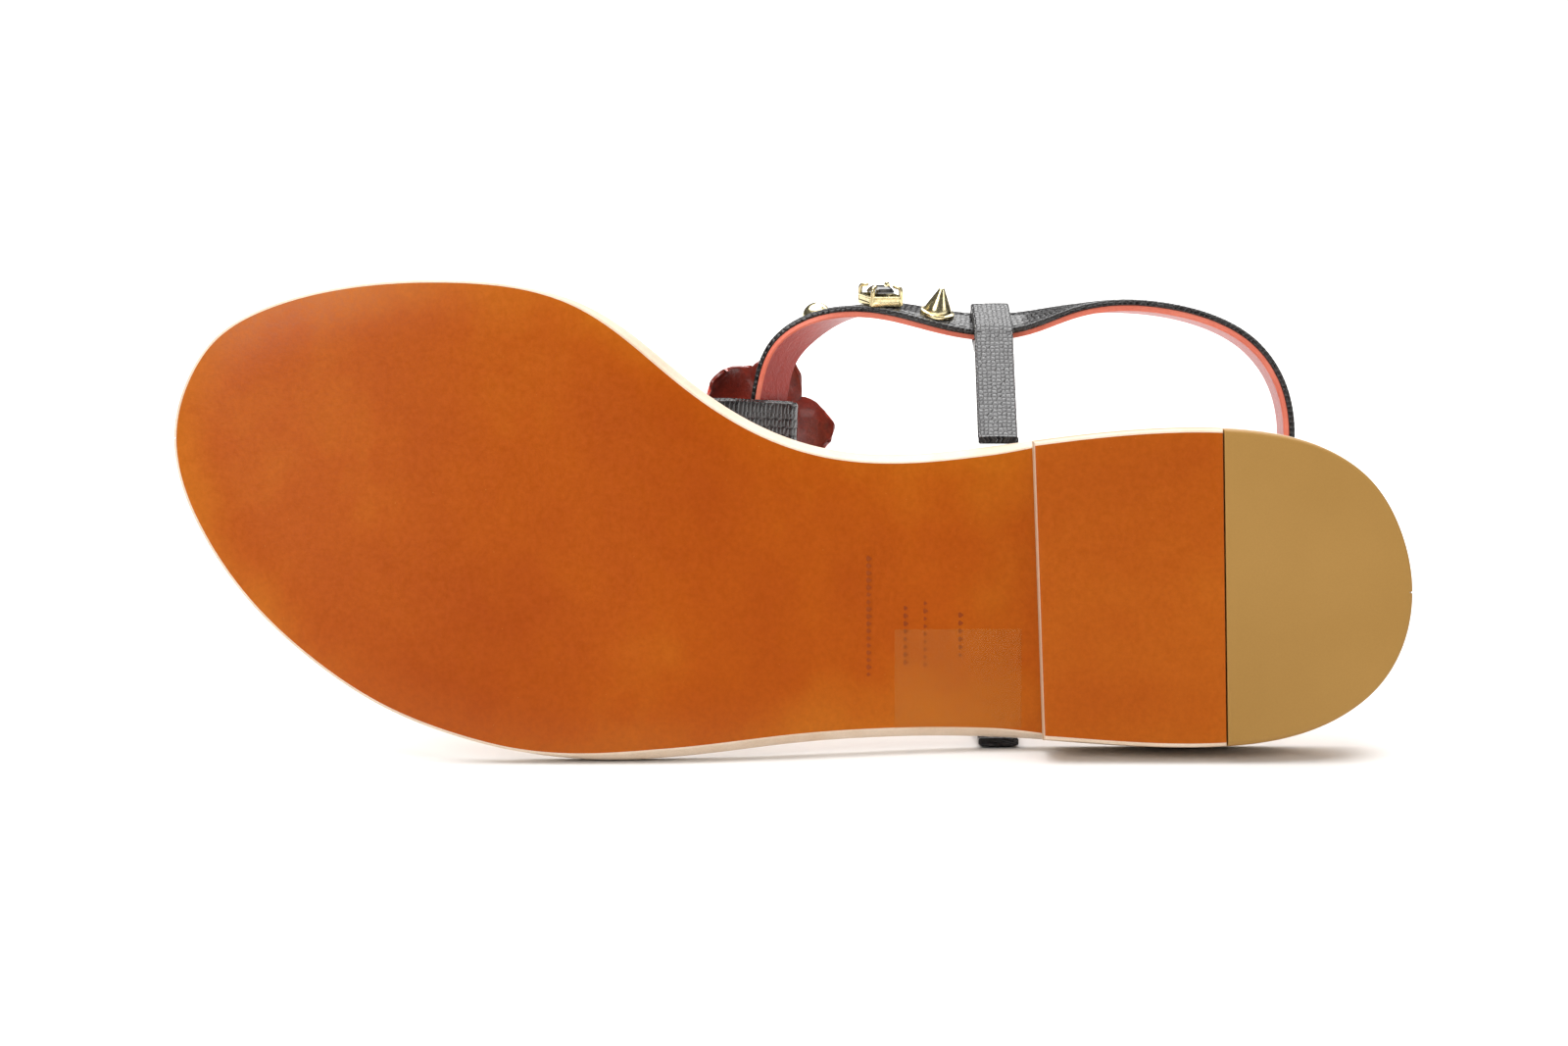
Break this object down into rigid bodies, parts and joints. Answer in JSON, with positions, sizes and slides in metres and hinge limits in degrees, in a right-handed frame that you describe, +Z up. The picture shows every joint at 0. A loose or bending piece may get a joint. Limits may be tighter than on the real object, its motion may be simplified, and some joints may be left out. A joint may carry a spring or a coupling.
{
  "type": "toe post sandal",
  "caption": "Flat toe post sandal for the right foot, with a rose on the instep, a studded and buckled ankle strap and a low heel, lying on its lateral side.",
  "frame": {"origin": "middle of the bounding box, on the floor the sandal lies on", "axes": "+X from toe to heel, +Z up, +Y away from the ground face of the sole, which looks towards -Y and a little up"},
  "size_m": [0.262, 0.09, 0.0998],
  "materials": {
    "sole_leather": "tan sole leather, waxed and burnished to a satin sheen",
    "edge_leather": "natural stacked leather, sanded and sealed",
    "insole_leather": "smooth natural lining leather",
    "heel_rubber": "smooth tan rubber, matte",
    "black_leather": "black lizard print, polished, red lining",
    "red_patent": "orange red patent leather, glossy",
    "pale_brass": "pale polished brass",
    "smoky_stone": "faceted dark grey glass, foiled behind"
  },
  "bodies": {
    "root": {"outsole": "sole_leather", "top_piece_leather": "sole_leather", "heel_block": "edge_leather", "insole": "insole_leather", "top_piece_rubber": "heel_rubber", "ankle_strap": "black_leather", "instep_strap": "black_leather", "side_tab_medial": "black_leather", "side_tab_lateral": "black_leather", "strap_keeper": "black_leather", "rose_base": "black_leather", "rose": "red_patent", "buckle_frame": "pale_brass", "buckle_prong": "pale_brass", "dome_medial": "pale_brass", "dome_lateral": "pale_brass", "spike_medial": "pale_brass", "spike_lateral": "pale_brass", "claw_setting_medial": "pale_brass", "claw_setting_lateral": "pale_brass", "stone_medial": "smoky_stone", "stone_lateral": "smoky_stone"}
  },
  "joints": []
}
